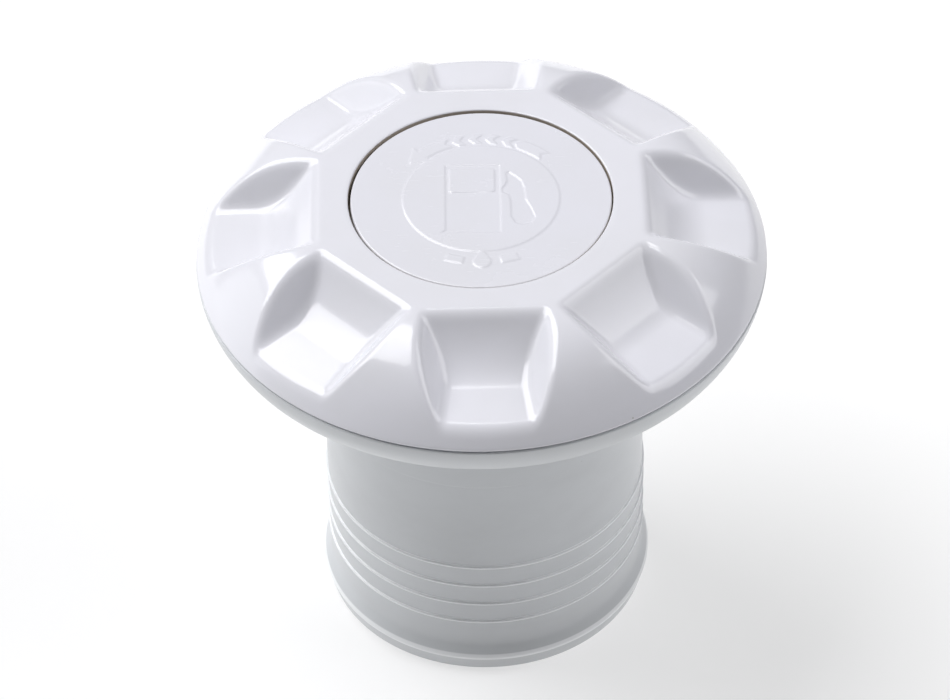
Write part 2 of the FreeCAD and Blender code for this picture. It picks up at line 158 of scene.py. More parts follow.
cap = {
    "columns": 656,
    "crownR": 24.0,
    "rimR": 43.85,
    "rimDrop": 0.35,
    "crownPower": 2.9,
    "rimRound": 0.28,
    "rimLand": 2.6,
    "skirtHeight": 0.75,
    "domeSamples": 4000,
    "domeRings": 84,
    "crownDensity": 0.35,
    "wall": 2.3,
    "recessCount": 8,
    "recessTurnDeg": 0.7,
    "creaseU": 29.9,
    "creaseBelow": 6.35,
    "innerSlope": 6.35 / 4.9,
    "floorSlope": 1.6 / 11.1,
    "creaseHalfWidth": 5.6,
    "sideFlare": 0.25,
    "sideSlope": 0.75,
    "scoopBlend": 5.2,
    "sideBlend": 1.3,
    "rimBlend": 1.25,
    "backingDrop": 0.92,
    "backingIn": 0.54,
    "backingOut": 0.45,
    "pocketR": 20.0,
    "pocketEdge": 0.3,
    "pocketBorder": 1.0,
    "ledgeBelow": 1.85,
    "wellR": 15.0,
    "wellDepth": 2.4,
    "hubWall": 2.4,
    "hubGap": 0.4,
    "insideRings": 28,
    "insideBlend": 0.8,
    "insideRimDrop": 1.0,
    "innerLipRound": 0.3,
    "innerLipIn": 0.35,
    "innerLipRise": 0.6,
    "ribWidth": 1.6,
    "ribSoft": 0.15,
    "ribLow": 69.0,
}


def domeHeight(r, outerR, top, low):
    # flat to the crown radius, then falling by a power of the way out to the rim
    share = np.clip((r - cap["crownR"]) / (outerR - cap["crownR"]), 0, None)
    return top - (top - low) * share**cap["crownPower"]


def foldedPlace(r, angle):
    # the place in the nearest recess's own frame: u outwards, t sideways
    step = 2 * math.pi / cap["recessCount"]
    turned = angle - math.radians(cap["recessTurnDeg"] - 90)
    local = (turned + step / 2) % step - step / 2
    return r * np.cos(local), r * np.sin(local)


def recessHeight(r, angle, grow=0.0):
    # a finger recess: an inner slope and a floor blended into one scoop, then blended with two flared sides
    u, t = foldedPlace(r, angle)
    creaseZ = capHigh.z - cap["creaseBelow"] - grow * cap["backingDrop"]
    creaseU = cap["creaseU"] - grow * cap["backingIn"]
    inner = creaseZ + (creaseU - u) * cap["innerSlope"]
    floor = creaseZ + (creaseU - u) * cap["floorSlope"]
    halfWidth = cap["creaseHalfWidth"] + grow * cap["backingOut"] + cap["sideFlare"] * (u - creaseU)
    side = creaseZ + (np.abs(t) - halfWidth) / cap["sideSlope"]
    return smoothMax(smoothMax(inner, floor, cap["scoopBlend"]), side, cap["sideBlend"])


def capRings(angle):
    # the cap's whole skin as rings: well floor, pocket, crown, dome, rim, and back inside to the hub
    rim = cap["rimR"]
    rimZ = capLow.z - cap["rimDrop"]
    borderR = cap["pocketR"] + cap["pocketBorder"]
    rings = []

    def plain(path):
        for r, z in path:
            rings.append((np.full(len(angle), r), np.full(len(angle), z)))

    ledgeZ = capHigh.z - cap["ledgeBelow"]
    wellFloor = ledgeZ - cap["wellDepth"]
    plain([(cap["wellR"] * 0.5, wellFloor)])
    plain(
        roundedPath(
            [
                (cap["wellR"] * 0.7, wellFloor, 0),
                (cap["wellR"], wellFloor, 0.2),
                (cap["wellR"], ledgeZ, 0.15),
                (cap["pocketR"], ledgeZ, 0.2),
                (cap["pocketR"], capHigh.z, cap["pocketEdge"]),
                (borderR, capHigh.z, 0),
            ],
            30,
        )
    )
    # dome rings, evenly spaced along the slope and wider apart on the flat crown
    r = np.linspace(borderR, rim, cap["domeSamples"])
    z = domeHeight(r, rim, capHigh.z, rimZ)
    length = np.concatenate([[0], np.cumsum(np.hypot(np.diff(r), np.diff(z)))])
    density = np.where(r[1:] < cap["crownR"] - 0.2, cap["crownDensity"], 1.0)
    weight = np.concatenate([[0], np.cumsum(density * np.diff(length))])
    skirtZ = capLow.z + cap["skirtHeight"]
    endR = np.interp(skirtZ, z[::-1], r[::-1])
    endWeight = np.interp(endR, r, weight)
    domeR = np.interp(np.linspace(0, endWeight, cap["domeRings"])[1:], weight, r)
    for ringR in domeR:
        dome = domeHeight(ringR, rim, capHigh.z, rimZ)
        pocket = recessHeight(ringR, angle)
        rings.append((np.full(len(angle), ringR), smoothMin(pocket, dome, cap["rimBlend"])))
    # rim: the dome's line down to the seam, rounded under
    seamR = np.interp(capLow.z, z[::-1], r[::-1])
    innerRim = rim - cap["rimLand"]
    plain(
        roundedPath(
            [
                (endR, skirtZ, 0),
                (seamR, capLow.z, cap["rimRound"]),
                (innerRim, capLow.z, cap["innerLipRound"]),
                (innerRim - cap["innerLipIn"], capLow.z + cap["innerLipRise"], 0),
            ],
            25,
        )[1:]
    )
    # the inside, with the recesses standing in it as bulges, and ribs between them
    ceiling = capHigh.z - cap["wall"]
    hubR = cap["wellR"] + cap["hubWall"]
    hubLow = wellFloor - cap["hubWall"]
    ledgeUnder = ledgeZ - cap["hubWall"]
    step = 2 * math.pi / cap["recessCount"]
    turned = angle - math.radians(cap["recessTurnDeg"] - 90) - step / 2
    ribAngle = (turned + step / 2) % step - step / 2
    insideR = innerRim - 2 * cap["innerLipIn"]
    for ringR in np.linspace(insideR, hubR + cap["hubGap"], cap["insideRings"]):
        inside = domeHeight(ringR, innerRim, ceiling, capLow.z - cap["insideRimDrop"])
        if ringR <= borderR:
            inside = np.minimum(inside, ledgeUnder)
        bulge = recessHeight(ringR, angle, cap["wall"])
        inside = smoothMin(np.full(len(angle), inside), bulge, cap["insideBlend"])
        across = np.abs(ringR * np.sin(ribAngle))
        rib = easeStep(across, cap["ribWidth"] / 2 - cap["ribSoft"], cap["ribWidth"] / 2 + cap["ribSoft"])
        inside = np.where(inside > cap["ribLow"], cap["ribLow"] + (inside - cap["ribLow"]) * rib, inside)
        rings.append((np.full(len(angle), ringR), inside))
    plain([(hubR, ledgeUnder), (hubR, hubLow), (hubR * 0.6, hubLow), (hubR * 0.3, hubLow)])
    return rings, wellFloor, hubLow


def makeCap():
    columns = cap["columns"]
    angle = np.arange(columns) * 2 * math.pi / columns
    rings, wellFloor, hubLow = capRings(angle)
    radii = np.stack([r for r, z in rings])
    heights = np.stack([z for r, z in rings])
    grid = turnedPoints(radii, heights, angle[None, :]).reshape(-1, 3)
    points = np.concatenate([grid, [[0, 0, wellFloor], [0, 0, hubLow]]])
    rows = len(rings)
    quads = ringFaces(rows, columns)[:, ::-1]
    firstRing = np.arange(columns)
    lastRing = firstRing + (rows - 1) * columns
    fans = [capFan(firstRing, rows * columns, False), capFan(lastRing, rows * columns + 1, True)]
    piece = meshFrom("capShell", points, [quads] + fans, "cap", 42)
    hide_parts("cap_shell")
    return piece


# ---- the label disc and its marks ----

label = {
    "columns": 600,
    "rings": 126,
    "edge": 0.3,
    "shift": (0.09, -0.1),
    "spigotR": 14.75,
    "spigotWidth": 1.5,
    "thickness": 1.6,
    "relief": 0.12,
    "softness": 0.2,
    "fieldR": 11.9,
    "pumpLeft": -5.4,
    "pumpRight": 2.9,
    "pumpLow": -7.7,
    "pumpHigh": 7.4,
    "pumpFoot": 0.7,
    "windowLeft": -4.8,
    "windowRight": 2.1,
    "windowLow": 1.35,
    "windowHigh": 6.65,
    "windowRound": 0.5,
    "hoseEase": 0.12,
    "bandR": 13.45,
    "bandWidth": 2.1,
    "bandStartDeg": 43.0,
    "bandEndDeg": 131.0,
    "bandHeadDeg": 12.0,
    "bandHeadWidth": 2.1,
    "bandLean": 0.9,
    "tailGapDeg": 2.2,
    "headGapDeg": 0.6,
    "chevrons": 4,
    "chevronStepDeg": 11.0,
    "chevronGapDeg": 1.5,
    "chevronShare": 0.62,
    "dropR": 1.35,
    "dropOut": 0.6,
    "barTurnDeg": 17.0,
    "barLength": 2.6,
    "barWidth": 1.5,
    "barOut": 0.55,
}


def insideShape(x, y, corners):
    # signed distance to a closed outline, negative inside, worked out edge by edge for all places at once
    corners = np.array(corners, float)
    nearest = np.full(x.shape, 1e9)
    inside = np.zeros(x.shape, bool)
    for (ax, ay), (bx, by) in zip(corners, np.roll(corners, -1, 0)):
        dx, dy = bx - ax, by - ay
        along = np.clip(((x - ax) * dx + (y - ay) * dy) / (dx * dx + dy * dy), 0, 1)
        nearest = np.minimum(nearest, np.hypot(x - ax - along * dx, y - ay - along * dy))
        crosses = (ay > y) != (by > y)
        with np.errstate(divide="ignore", invalid="ignore"):
            inside ^= crosses & (x < ax + (y - ay) * dx / (dy if dy else 1e-12))
    return np.where(inside, -nearest, nearest)


def polarPlace(r, deg):
    return r * math.cos(math.radians(deg)), r * math.sin(math.radians(deg))


def discRelief(x, y):
    # height of the marks: a raised round field with the pump sunk in it, and raised marks round it
    soft = label["softness"]

    def raised(distance):
        return 1 - easeStep(distance, -soft, soft)

    r = np.hypot(x, y)
    deg = np.degrees(np.arctan2(y, x))
    field = raised(r - label["fieldR"])
    left, right, low, high = label["pumpLeft"], label["pumpRight"], label["pumpLow"], label["pumpHigh"]
    foot = label["pumpFoot"]
    body = insideShape(
        x,
        y,
        [(left, low + foot), (left - foot, low), (right, low), (right, high), (left, high)],
    )
    midX = (label["windowLeft"] + label["windowRight"]) / 2
    midY = (label["windowLow"] + label["windowHigh"]) / 2
    halfX = (label["windowRight"] - label["windowLeft"]) / 2
    halfY = (label["windowHigh"] - label["windowLow"]) / 2
    cornerR = label["windowRound"]
    outX = np.abs(x - midX) - halfX + cornerR
    outY = np.abs(y - midY) - halfY + cornerR
    window = np.hypot(np.maximum(outX, 0), np.maximum(outY, 0)) + np.minimum(np.maximum(outX, outY), 0)
    window = window - cornerR
    sunk = np.maximum(raised(body) * (1 - raised(window)), raised(hoseDistance(x, y)))
    height = field * (1 - sunk)
    # the curved arrow, its band broken by chevrons that point the same way
    halfBand = label["bandWidth"] / 2
    middle = (label["bandStartDeg"] + label["bandEndDeg"]) / 2
    span = label["chevrons"] * label["chevronStepDeg"]
    lean = np.degrees((halfBand - np.abs(r - label["bandR"])) / label["bandR"]) * label["bandLean"]
    perDeg = math.radians(label["bandR"])

    def stretch(startDeg, endDeg):
        # a piece of the band between two leaning ends
        ends = np.maximum(startDeg - (deg - lean), (deg - lean) - endDeg) * perDeg
        return np.maximum(ends, np.abs(r - label["bandR"]) - halfBand)

    pieces = [
        stretch(label["bandStartDeg"], middle - span / 2 - label["tailGapDeg"]),
        stretch(middle + span / 2 + label["headGapDeg"], label["bandEndDeg"] - 1),
    ]
    for i in range(label["chevrons"]):
        start = middle - span / 2 + i * label["chevronStepDeg"]
        end = start + label["chevronStepDeg"] * label["chevronShare"]
        pieces.append(stretch(start + label["chevronGapDeg"], end))
    halfHead = halfBand * label["bandHeadWidth"]
    head = insideShape(
        x,
        y,
        [
            polarPlace(label["bandR"] - halfHead, label["bandEndDeg"]),
            polarPlace(label["bandR"] + halfHead, label["bandEndDeg"]),
            polarPlace(label["bandR"] * 1.01, label["bandEndDeg"] + label["bandHeadDeg"]),
        ],
    )
    marks = np.minimum.reduce(pieces + [head])
    # a drop between two short bars on the near side
    dropY = -label["bandR"] - label["dropOut"]
    ball = np.hypot(x, y - dropY) - label["dropR"]
    tip = insideShape(
        x,
        y,
        [
            (-0.87 * label["dropR"], dropY + 0.5 * label["dropR"]),
            (0.87 * label["dropR"], dropY + 0.5 * label["dropR"]),
            (0, dropY + 2.0 * label["dropR"]),
        ],
    )
    marks = np.minimum.reduce([marks, ball, tip])
    for side in (-1, 1):
        turn = -90 + side * label["barTurnDeg"]
        place = (deg - turn) * math.radians(1) * label["bandR"]
        out = np.abs(r - label["bandR"] - label["barOut"])
        bar = np.maximum(np.abs(place) - label["barLength"] / 2, out - label["barWidth"] / 2)
        marks = np.minimum(marks, bar)
    return label["relief"] * np.maximum(height, raised(marks))


def hoseDistance(x, y):
    # the nozzle and hose: a closed outline of a few points, its corners eased by a small offset
    outline = [
        (3.3, 1.35),
        (4.25, 0.75),
        (4.55, -0.6),
        (4.6, -4.2),
        (5.2, -5.6),
        (6.2, -6.0),
        (7.4, -5.6),
        (8.0, -4.4),
        (7.5, -2.6),
        (6.6, -0.4),
        (6.45, 2.2),
        (6.0, 3.8),
        (4.3, 5.7),
        (3.9, 5.5),
        (4.1, 3.8),
        (3.7, 2.6),
        (3.3, 2.2),
    ]
    return insideShape(x, y, outline) - label["hoseEase"]


def makeLabelDisc():
    columns = label["columns"]
    angle = np.arange(columns) * 2 * math.pi / columns
    outerR = discHigh.x
    top = discHigh.z - label["relief"]
    low = top - label["thickness"]
    edge = label["edge"]
    innerR = np.linspace(0.15, outerR - edge - 0.05, label["rings"])
    radii = np.repeat(innerR[:, None], columns, 1)
    heights = top + discRelief(radii * np.cos(angle), radii * np.sin(angle))
    side = roundedPath(
        [
            (outerR - edge - 0.02, top, 0),
            (outerR, top, edge),
            (outerR, low, 0.1),
            (label["spigotR"], low, 0.1),
            (label["spigotR"], discLow.z, 0.2),
            (label["spigotR"] - label["spigotWidth"], discLow.z, 0.2),
            (label["spigotR"] - label["spigotWidth"], low, 0.2),
            (label["spigotR"] * 0.5, low, 0),
        ],
        20,
    )
    radii = np.concatenate([radii, np.repeat(side[:, :1], columns, 1)])
    heights = np.concatenate([heights, np.repeat(side[:, 1:], columns, 1)])
    rows = len(radii)
    grid = turnedPoints(radii, heights, angle[None, :]).reshape(-1, 3)
    centre = discRelief(np.zeros(1), np.zeros(1))[0]
    points = np.concatenate([grid, [[0, 0, top + centre], [0, 0, low]]])
    points[:, :2] += label["shift"]
    quads = ringFaces(rows, columns)[:, ::-1]
    firstRing = np.arange(columns)
    lastRing = firstRing + (rows - 1) * columns
    fans = [capFan(firstRing, rows * columns, False), capFan(lastRing, rows * columns + 1, True)]
    piece = meshFrom("labelDisc", points, [quads] + fans, "cap", 50)
    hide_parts("label_disc")
    return piece


# ---- the neck: flange, collar, thread and hose tail ----

neck = {
    "columns": 360,
    "tipIn": 1.4,
    "tipRise": 0.4,
    "tipRound": 0.5,
    "lipRise": 1.25,
    "lipZ": 3.25,
    "lipRound": 0.5,
    "lipBackStep": 0.1,
    "lipBackRise": 2.2,
    "lipBackRound": 2.6,
    "blendZ": 7.0,
    "barbCount": 4,
    "barbPitch": 4.08,
    "barbFirstZ": 10.6,
    "barbRise": 0.3,
    "barbRound": 0.1,
    "barbLedge": 0.06,
    "barbFoot": 0.05,
    "collarStep": 0.7,
    "collarFillet": 3.0,
    "flangeTaper": 1.6,
    "flangeBulge": 0.35,
    "flangeRows": 14,
    "flangeRimWidth": 3.0,
    "flangeRimRise": 1.0,
    "edgeRound": 0.3,
    "seatR": 24.0,
    "seatRingWidth": 3.4,
    "seatDepth": 5.8,
    "seatLead": 0.8,
    "threadR": 23.1,
    "threadCrestR": 21.95,
    "threadLow": 48.925,
    "threadTurns": 2.0,
    "threadPitch": 5.0,
    "threadBase": 2.55,
    "threadCrest": 1.7,
    "threadFade": 0.04,
    "threadRowStep": 0.26,
    "boreRound": 0.4,
    "holeBlockCells": 20,
    "holeBlockRows": 9,
    "holeBlockHalf": 5.7,
    "holeBlockClear": 6.0,
    "holeEdge": 0.15,
    "sinkR": 4.4,
    "sinkLip": 0.1,
    "sinkDepth": 2.1,
    "sinkEase": 0.45,
}


def neckOutside():
    # from the tail's bottom edge up the outside to the flange's top
    collarR = tailR + neck["collarStep"]
    flangeR = neckHigh.x
    corners = [
        (tailR + neck["tipRise"] - neck["tipIn"], 0.0, 0),
        (tailR + neck["tipRise"], 0.0, neck["tipRound"]),
        (tailR + neck["lipRise"], neck["lipZ"], neck["lipRound"]),
        (tailR + neck["lipBackStep"], neck["lipZ"] + neck["lipBackRise"], neck["lipBackRound"]),
        (tailR, neck["blendZ"], 0),
    ]
    for i in range(neck["barbCount"]):
        z = neck["barbFirstZ"] + i * neck["barbPitch"]
        corners.append((tailR + neck["barbRise"], z, neck["barbRound"]))
        corners.append((tailR, z + neck["barbLedge"], neck["barbFoot"]))
    corners += [
        (tailR, tailLength, 0.2),
        (collarR, tailLength + neck["collarStep"], 0.3),
        (collarR, deckFace, neck["collarFillet"]),
        (screwCircleR - neck["holeBlockClear"], deckFace, 0),
    ]
    under = roundedPath(corners, 10)
    share = np.linspace(0, 1, neck["flangeRows"])
    footR = flangeR - neck["flangeTaper"]
    wallR = footR + neck["flangeTaper"] * share + 4 * neck["flangeBulge"] * share * (1 - share)
    wallR = np.minimum(wallR, flangeR)
    wallZ = deckFace + (neckHigh.z - deckFace) * share
    return under, np.stack([wallR, wallZ], -1)


def threadRidge(angle, z):
    # ridge height above the wall: a trapezoid centred on a right-handed helix, fading out at both ends
    turnAt = angle / (2 * math.pi)
    lap = np.round((z - neck["threadLow"]) / neck["threadPitch"] - turnAt)
    turn = turnAt + lap
    off = np.abs(z - neck["threadLow"] - neck["threadPitch"] * turn)
    flank = (neck["threadBase"] - neck["threadCrest"]) / 2
    rise = np.clip((neck["threadBase"] / 2 - off) / flank, 0, 1)
    begun = easeStep(turn, -0.005, neck["threadFade"])
    ended = easeStep(turn, neck["threadTurns"] - neck["threadFade"], neck["threadTurns"] + 0.005)
    return (neck["threadR"] - neck["threadCrestR"]) * rise * begun * (1 - ended)


def screwHolePatch(points, rowsUp, rowsDown, columns, atColumn, plateZ):
    # a ring of faces from the block's edge on top, down the countersunk hole, out to the block's edge below
    half = neck["holeBlockCells"] // 2
    cols = (atColumn + np.arange(-half, half + 1)) % columns

    def edgeLoop(rows):
        out = [rows * columns + cols[0], rows[-1] * columns + cols[1:]]
        back = [rows[-2::-1] * columns + cols[-1], rows[0] * columns + cols[-2:0:-1]]
        return np.concatenate(out + back)

    top, low = edgeLoop(rowsUp), edgeLoop(rowsDown)
    middle = atColumn * 2 * math.pi / columns
    centre = screwCircleR * np.array([math.cos(middle), math.sin(middle)])
    plan = points[top, :2]
    around = np.arctan2(plan[:, 1] - centre[1], plan[:, 0] - centre[0])
    ring = np.stack([np.cos(around), np.sin(around)], -1)

    def layer(radius, z, ease=0.0):
        flat = centre + ring * radius
        flat = flat + (plan - flat) * ease
        return np.column_stack([flat, np.full(len(flat), z)])

    holeEdge = neck["holeEdge"]
    layers = [
        layer(neck["sinkR"], plateZ, neck["sinkEase"]),
        layer(neck["sinkR"] + holeEdge, plateZ),
        layer(neck["sinkR"] - neck["sinkLip"], plateZ - holeEdge),
        layer(screwHoleR, plateZ - neck["sinkDepth"]),
        layer(screwHoleR, deckFace + holeEdge),
        layer(screwHoleR + holeEdge, deckFace),
        layer(neck["sinkR"], deckFace, neck["sinkEase"]),
    ]
    count = len(top)
    loops = [top] + [len(points) + count * i + np.arange(count) for i in range(len(layers))] + [low]
    faces = [np.stack([a, np.roll(a, -1), np.roll(b, -1), b], -1) for a, b in zip(loops[:-1], loops[1:])]
    return np.concatenate([points] + layers), np.concatenate(faces)


def makeNeck():
    columns = neck["columns"]
    angle = np.arange(columns) * 2 * math.pi / columns
    under, wall = neckOutside()
    plateZ = neckHigh.z - neck["flangeRimRise"]
    rimIn = neckHigh.x - neck["flangeRimWidth"]
    ringR = neck["seatR"] + neck["seatRingWidth"]
    blockRows = neck["holeBlockRows"]
    blockHalf = neck["holeBlockHalf"]
    blockR = np.linspace(screwCircleR - blockHalf, screwCircleR + blockHalf, blockRows)
    blockLow = np.column_stack([blockR, np.full(blockRows, deckFace)])
    blockTop = np.column_stack([blockR[::-1], np.full(blockRows, plateZ)])
    edge = neck["edgeRound"]
    rim = roundedPath(
        [
            (wall[-2][0], wall[-2][1], 0),
            (neckHigh.x, neckHigh.z, 0.25),
            (rimIn, neckHigh.z, edge),
            (rimIn, plateZ, edge),
            (rimIn - 0.19, plateZ, 0),
        ],
        20,
    )[1:-1]
    seatZ = neckHigh.z - neck["seatDepth"]
    seat = roundedPath(
        [
            (blockR[0] - 0.1, plateZ, 0),
            (ringR, plateZ, edge),
            (ringR, neckHigh.z, edge),
            (neck["seatR"] + neck["seatLead"], neckHigh.z, 0.2),
            (neck["seatR"], neckHigh.z - neck["seatLead"], 0.4),
            (neck["seatR"], seatZ, 0.1),
            (neck["threadR"], seatZ, 0.1),
            (neck["threadR"], seatZ - 0.15, 0),
        ],
        20,
    )
    stepZ = neck["threadLow"] - neck["threadBase"]
    threadZ = np.arange(seatZ - 0.3, stepZ + 0.1, -neck["threadRowStep"])
    bore = roundedPath(
        [
            (neck["threadR"], stepZ, 0),
            (boreR, stepZ - neck["threadR"] + boreR, neck["boreRound"]),
            (boreR, 0.0, neck["boreRound"]),
            (boreR + 1.0, 0.0, 0),
        ],
        20,
    )
    before = np.concatenate([under, blockLow, wall[:-1], rim, blockTop, seat])
    rowsDown = len(under) + np.arange(blockRows)
    rowsUp = (len(under) + blockRows + len(wall) - 1 + len(rim) + np.arange(blockRows))[::-1]
    plain = np.concatenate([before, bore])
    radii = np.repeat(plain[:, :1], columns, 1)
    heights = np.repeat(plain[:, 1:], columns, 1)
    threadHeights = np.repeat(threadZ[:, None], columns, 1)
    threadRadii = neck["threadR"] - threadRidge(angle[None, :], threadHeights)
    cut = len(before)
    radii = np.concatenate([radii[:cut], threadRadii, radii[cut:]])
    heights = np.concatenate([heights[:cut], threadHeights, heights[cut:]])
    rows = len(radii)
    points = turnedPoints(radii, heights, angle[None, :]).reshape(-1, 3)
    quads = ringFaces(rows, columns, closed=True).reshape(rows, columns, 4)
    keep = np.ones((rows, columns), bool)
    half = neck["holeBlockCells"] // 2
    patches = []
    for i in range(screwHoleCount):
        atColumn = int(columns / screwHoleCount * (i + 0.5))
        cells = (atColumn + np.arange(-half, half)) % columns
        for rowsOf in (rowsDown, rowsUp[::-1]):
            keep[np.ix_(rowsOf[:-1], cells)] = False
        points, faces = screwHolePatch(points, rowsUp, rowsDown, columns, atColumn, plateZ)
        patches.append(faces)
    piece = meshFrom("fillerNeck", points, [quads[keep]] + patches, "neck", 38)
    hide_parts("filler_neck")
    return piece


# ---- the seal ring ----

seal = {"columns": 240, "sides": 36, "flash": 0.03}


def makeSealRing():
    # a torus turned about Z, with the faint moulding line of an O-ring at its inside and outside
    angle = np.arange(seal["columns"]) * 2 * math.pi / seal["columns"]
    side = np.arange(seal["sides"]) * 2 * math.pi / seal["sides"]
    section = (sealHigh.z - sealLow.z) / 2
    ringR = sealHigh.x - section
    lobe = section - seal["flash"] * (1 - np.abs(np.cos(side)) ** 40)
    radii = (ringR + lobe * np.cos(side))[:, None] + 0 * angle[None, :]
    heights = ((sealHigh.z + sealLow.z) / 2 + lobe * np.sin(side))[:, None] + 0 * angle[None, :]
    points = turnedPoints(radii, heights, angle[None, :]).reshape(-1, 3)
    quads = ringFaces(len(side), len(angle), closed=True)
    piece = meshFrom("sealRing", points, [quads], "seal", 60)
    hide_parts("seal_ring")
    return piece


# ---- shader helpers ----

class Wire:
    # one socket; arithmetic on it adds Math nodes
    def __init__(self, shade, socket):
        self.shade = shade
        self.socket = socket

    def maths(self, operation, *values):
        return self.shade.node("ShaderNodeMath", {"operation": operation}, dict(enumerate(values)))

    def __add__(self, other):
        return self.maths("ADD", self, other)

    def __radd__(self, other):
        return self.maths("ADD", other, self)

    def __sub__(self, other):
        return self.maths("SUBTRACT", self, other)

    def __rsub__(self, other):
        return self.maths("SUBTRACT", other, self)

    def __mul__(self, other):
        return self.maths("MULTIPLY", self, other)

    def __rmul__(self, other):
        return self.maths("MULTIPLY", other, self)


class Shade:
    # a material being built round one Principled shader
    def __init__(self, name, fixed):
        self.material = bpy.data.materials.new(name)
        self.material.use_nodes = True
        self.tree = self.material.node_tree
        self.tree.nodes.clear()
        self.surface = self.tree.nodes.new("ShaderNodeBsdfPrincipled")
        end = self.tree.nodes.new("ShaderNodeOutputMaterial")
        self.tree.links.new(self.surface.outputs[0], end.inputs[0])
        for key, value in fixed.items():
            self.surface.inputs[key].default_value = value
        self.place = self.node("ShaderNodeTexCoord", output="Object")

    def plug(self, target, value):
        if isinstance(value, Wire):
            self.tree.links.new(value.socket, target)
        else:
            target.default_value = value

    def node(self, kind, settings=None, inputs=None, output=0):
        made = self.tree.nodes.new(kind)
        for key, value in (settings or {}).items():
            if key == "stops":
                ramp = made.color_ramp
                while len(ramp.elements) < len(value):
                    ramp.elements.new(0.5)
                for stop, (at, colour) in zip(ramp.elements, value):
                    stop.position = at
                    stop.color = colour
            else:
                setattr(made, key, value)
        for key, value in (inputs or {}).items():
            self.plug(made.inputs[key], value)
        return Wire(self, made.outputs[output])

    def feed(self, **values):
        for key, value in values.items():
            self.plug(self.surface.inputs[key.replace("_", " ")], value)

    def noise(self, perMetre, detail=3.0, stretch=None, rough=0.5):
        at = self.place
        if stretch:
            at = self.node("ShaderNodeMapping", None, {"Vector": self.place, "Scale": stretch})
        inputs = {"Vector": at, "Scale": perMetre, "Detail": detail, "Roughness": rough}
        return self.node("ShaderNodeTexNoise", None, inputs)

    def awayFromAxis(self):
        # the distance from the Z axis
        flat = self.node("ShaderNodeMapping", None, {"Vector": self.place, "Scale": (1, 1, 0)})
        return self.node("ShaderNodeVectorMath", {"operation": "LENGTH"}, {0: flat}, "Value")

    def between(self, value, low, high, toLow=0.0, toHigh=1.0):
        return self.node(
            "ShaderNodeMapRange",
            {"interpolation_type": "SMOOTHSTEP"},
            {"Value": value, "From Min": low, "From Max": high, "To Min": toLow, "To Max": toHigh},
        )

    def blendColours(self, share, first, second):
        return self.node("ShaderNodeMix", {"data_type": "RGBA"}, {0: share, 6: first, 7: second}, output=2)

    def specks(self, perMetre, size, share):
        # sparse round specks: near a cell's centre, in a share of the cells
        settings = {"feature": "F1"}
        inputs = {"Vector": self.place, "Scale": perMetre}
        near = self.node("ShaderNodeTexVoronoi", settings, inputs, "Distance")
        tint = self.node("ShaderNodeTexVoronoi", settings, inputs, "Color")
        pick = self.node("ShaderNodeSeparateColor", None, {0: tint}, "Red")
        chosen = self.between(pick, 1 - share, 1 - share + 0.01)
        return chosen * self.between(near, size, size * 0.5)

    def bump(self, height, distance, strength=1.0, over=None):
        inputs = {"Height": height, "Distance": distance, "Strength": strength}
        if over:
            inputs["Normal"] = over
        return self.node("ShaderNodeBump", None, inputs)


# ---- finishes ----

finishes = {
    "capWhite": {
        "main": (0.815, 0.815, 0.87, 1),
        "aged": (0.79, 0.79, 0.835, 1),
        "dust": (0.42, 0.41, 0.38, 1),
        "gloss": 0.16,
        "peel": 0.000004,
        "specks": 0.02,
        "specksPerMetre": 230,
        "coat": 0.25,
        # painted shade in the gap round the disc: its brownish colour, and the distance from the axis
        # inside which it lies
        "grime": (0.36, 0.31, 0.25, 1),
        "grimeInside": 0.02,
    },
    "discWhite": {
        "main": (0.79, 0.79, 0.85, 1),
        "aged": (0.77, 0.77, 0.815, 1),
        "dust": (0.42, 0.41, 0.38, 1),
        "gloss": 0.24,
        "peel": 0.000003,
        "specks": 0.02,
        "specksPerMetre": 230,
        "coat": 0.3,
    },
    "neckWhite": {
        # painted shade: main and aged are darker than the cap's white of the same plastic, standing in for
        # the shade on the neck under the flange
        "main": (0.65, 0.67, 0.69, 1),
        "aged": (0.615, 0.632, 0.65, 1),
        # painted highlight: colour and width of the pale lines along the barbs and the lip
        "worn": (0.93, 0.945, 0.96, 1),
        "wornWidth": 0.0002,
        "dust": (0.2, 0.18, 0.15, 1),
        "gloss": 0.34,
        "peel": 0.000006,
        "specks": 0.10,
        "specksPerMetre": 200,
        "coat": 0.15,
    },
    "plugWhite": {
        "main": (0.76, 0.775, 0.78, 1),
        "aged": (0.72, 0.725, 0.715, 1),
        "dust": (0.3, 0.28, 0.24, 1),
        "gloss": 0.36,
        "peel": 0.000005,
        "specks": 0.04,
        "specksPerMetre": 200,
        "coat": 0.1,
    },
}


def paintedGapShade(shade, look, colour):
    # painted shade: a brownish dark colour on the cap inside a set distance from the axis, darkening the
    # gap round the disc
    inside = look["grimeInside"]
    inGap = shade.between(shade.awayFromAxis(), inside, inside + 0.0001, 1.0, 0.0)
    return shade.blendColours(inGap, colour, look["grime"])


def paintedLedgeHighlights(shade, look, colour):
    # painted highlight: paler lines along the barbs' edges and the lip, standing in for light catching
    # those edges
    height = shade.node("ShaderNodeSeparateXYZ", None, {0: shade.place}, "Z")
    step = (height - neck["barbFirstZ"] * mm) * (1 / (neck["barbPitch"] * mm))
    nearest = step.maths("MAXIMUM", step.maths("ROUND", step), 0.0)
    nearest = step.maths("MINIMUM", nearest, neck["barbCount"] - 1.0)
    barbOff = step.maths("ABSOLUTE", step - nearest) * (neck["barbPitch"] * mm)
    lipOff = step.maths("ABSOLUTE", height - neck["lipZ"] * mm) * 0.5
    off = step.maths("MINIMUM", barbOff, lipOff)
    worn = shade.between(off, look["wornWidth"], look["wornWidth"] * 1.6, 1.0, 0.0)
    return shade.blendColours(worn, colour, look["worn"])


